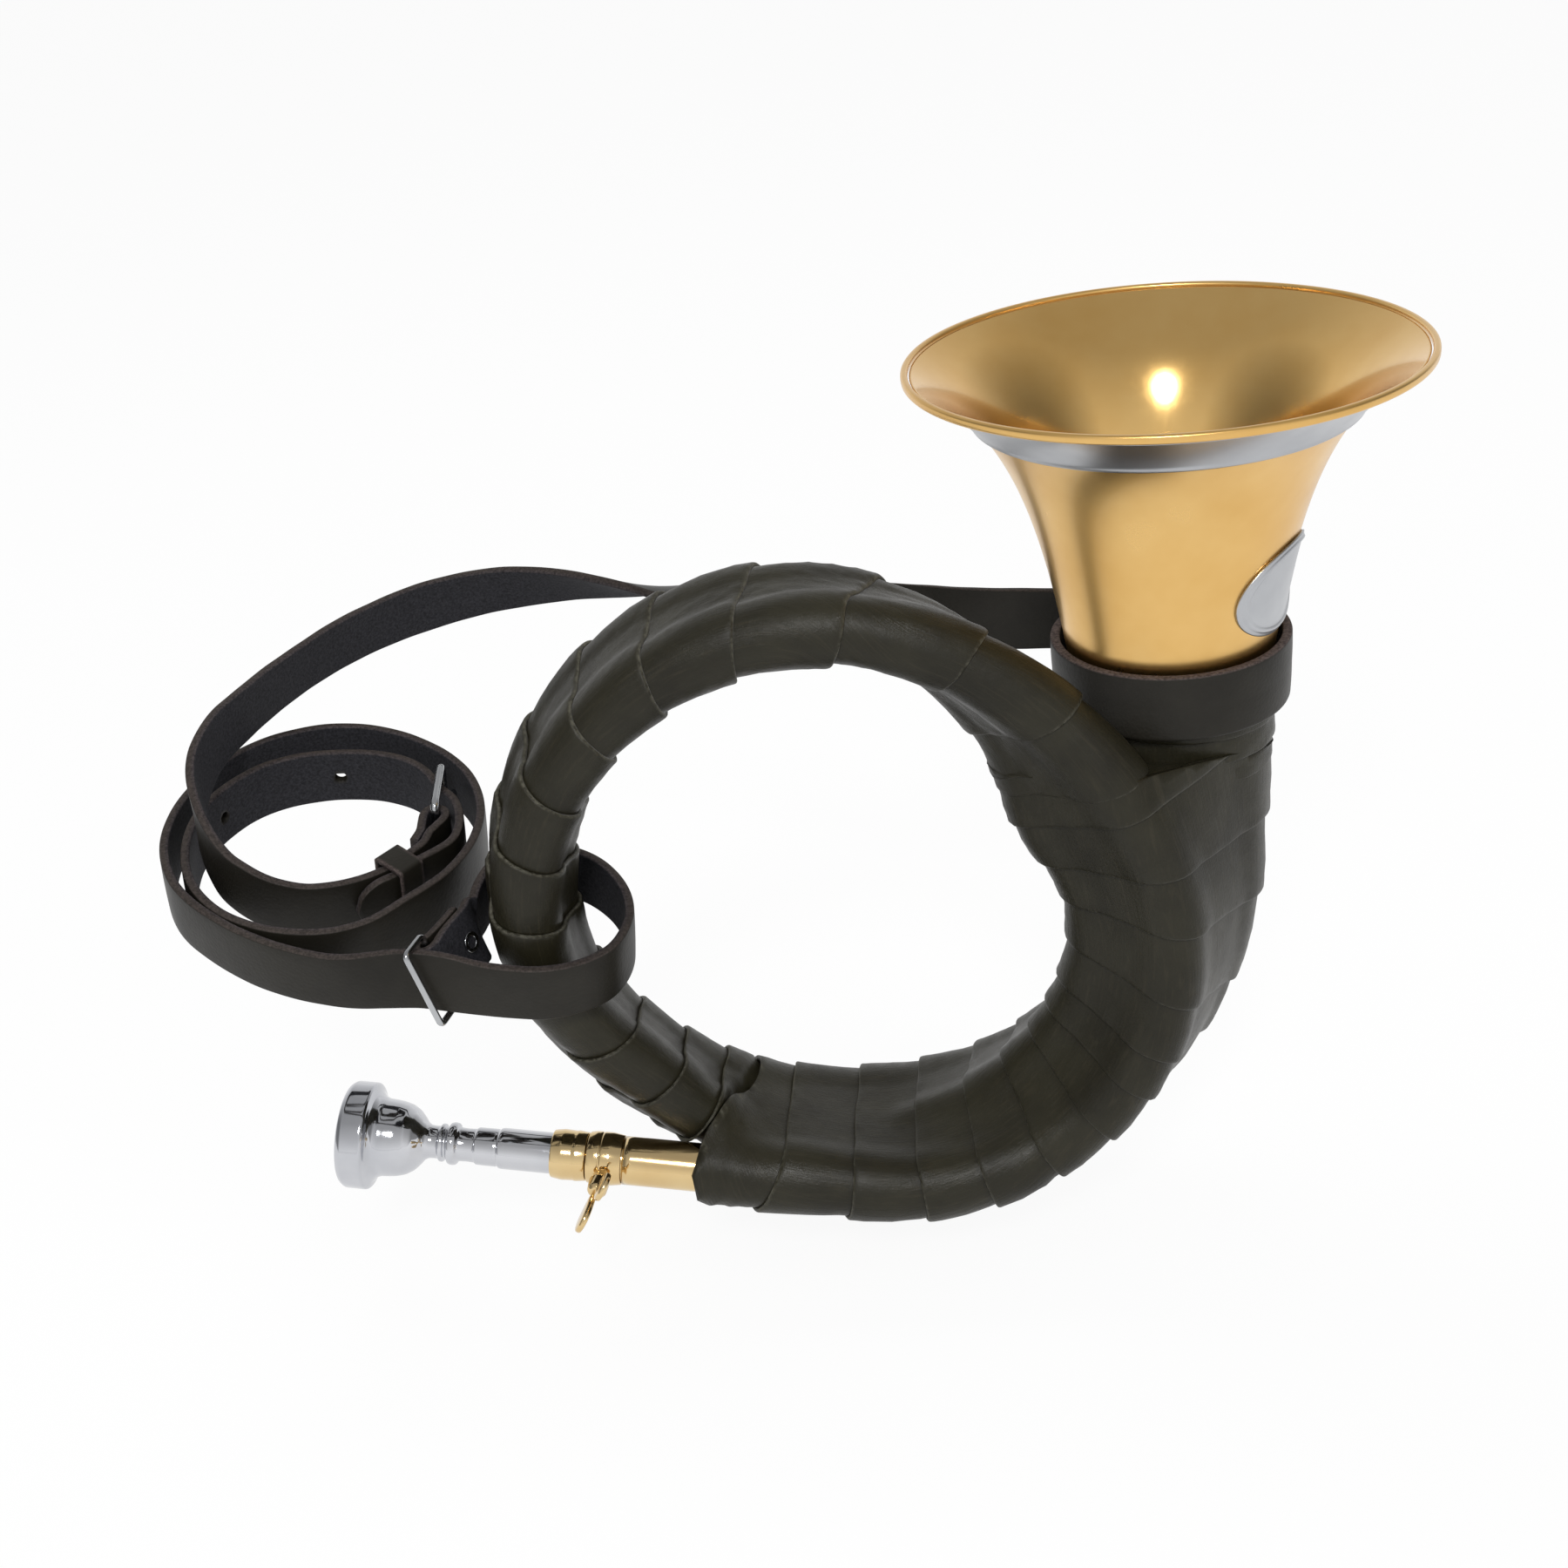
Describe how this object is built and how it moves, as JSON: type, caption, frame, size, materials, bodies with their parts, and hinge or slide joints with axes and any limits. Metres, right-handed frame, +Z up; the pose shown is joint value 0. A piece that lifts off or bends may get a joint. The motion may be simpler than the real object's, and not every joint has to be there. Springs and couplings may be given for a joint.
{
  "type": "hunting horn",
  "caption": "Small round hunting horn: leather-wound coiled brass tube, upright flared bell, tuning slide with thumb screw, silver mouthpiece and buckled leather carrying strap",
  "frame": {"origin": "inside the leather bundle on the right of the coil, where the hand holds the horn", "axes": "+Z up along the bell's axis towards its mouth, +X from the coil's centre out through the grip, +Y square to the coil's plane, towards the side the bell's bow lies on"},
  "size_m": [0.3047, 0.1733, 0.22],
  "materials": {
    "badge": "polished nickel silver",
    "bell": "clear lacquered, polished",
    "bow_ferrule": "polished nickel silver",
    "buckle_frame": "polished nickel silver",
    "buckle_prong": "polished nickel silver",
    "bundle_winding": "satin, finely creased",
    "clamp_collar": "lacquered, lightly brushed",
    "coil_ferrule": "polished nickel silver",
    "coil_winding": "satin, finely creased",
    "eyelet": "polished nickel silver",
    "first_coil_tube": "clear lacquered, polished",
    "garland": "polished nickel silver",
    "lead_ferrule": "polished nickel silver",
    "lead_pipe": "lacquered, lightly brushed",
    "leather_keeper": "smooth outside, suede inside",
    "long_strap": "smooth outside, suede inside",
    "mouthpiece": "silver plated, polished",
    "rim_bead": "clear lacquered, polished",
    "second_coil_tube": "clear lacquered, polished",
    "short_strap": "smooth outside, suede inside",
    "slide_loop": "polished nickel silver",
    "stay_bottom": "polished nickel silver",
    "stay_left": "polished nickel silver",
    "stay_top": "polished nickel silver",
    "strap_collar": "smooth outside, suede inside",
    "throat_winding": "satin, finely creased",
    "thumb_screw": "lacquered, lightly brushed",
    "tuning_slide": "lacquered, lightly brushed"
  },
  "bodies": {
    "horn": {"badge": "badge", "bell": "bell", "bow_ferrule": "bow_ferrule", "buckle_frame": "buckle_frame", "bundle_winding": "bundle_winding", "clamp_collar": "clamp_collar", "coil_ferrule": "coil_ferrule", "coil_winding": "coil_winding", "eyelet": "eyelet", "first_coil_tube": "first_coil_tube", "garland": "garland", "lead_ferrule": "lead_ferrule", "lead_pipe": "lead_pipe", "leather_keeper": "leather_keeper", "long_strap": "long_strap", "rim_bead": "rim_bead", "second_coil_tube": "second_coil_tube", "short_strap": "short_strap", "slide_loop": "slide_loop", "stay_bottom": "stay_bottom", "stay_left": "stay_left", "stay_top": "stay_top", "strap_collar": "strap_collar", "throat_winding": "throat_winding"},
    "slide": {"tuning_slide": "tuning_slide"},
    "mouthpiece": {"mouthpiece": "mouthpiece"},
    "thumb_screw": {"thumb_screw": "thumb_screw"},
    "prong": {"buckle_prong": "buckle_prong"}
  },
  "joints": [
    {"name": "tuning_slide", "type": "slide", "parent": "horn", "child": "slide", "axis": [-0.9774, 0.1662, 0.131], "range_m": [0, 0.015]},
    {"name": "mouthpiece_pull", "type": "slide", "parent": "slide", "child": "mouthpiece", "axis": [-0.9774, 0.1662, 0.131], "range_m": [0, 0.018]},
    {"name": "thumb_screw_turn", "type": "hinge", "parent": "horn", "child": "thumb_screw", "pos_m": [-0.13746, -0.00589, -0.06311], "axis": [-0.1676, -0.9859, 0], "range_deg": [-30, 330]},
    {"name": "prong_swing", "type": "hinge", "parent": "horn", "child": "prong", "pos_m": [-0.1712, 0.0375, 0.0095], "axis": [0.1111, -0.1949, 0.9745], "range_deg": [-2.5, 0]}
  ]
}
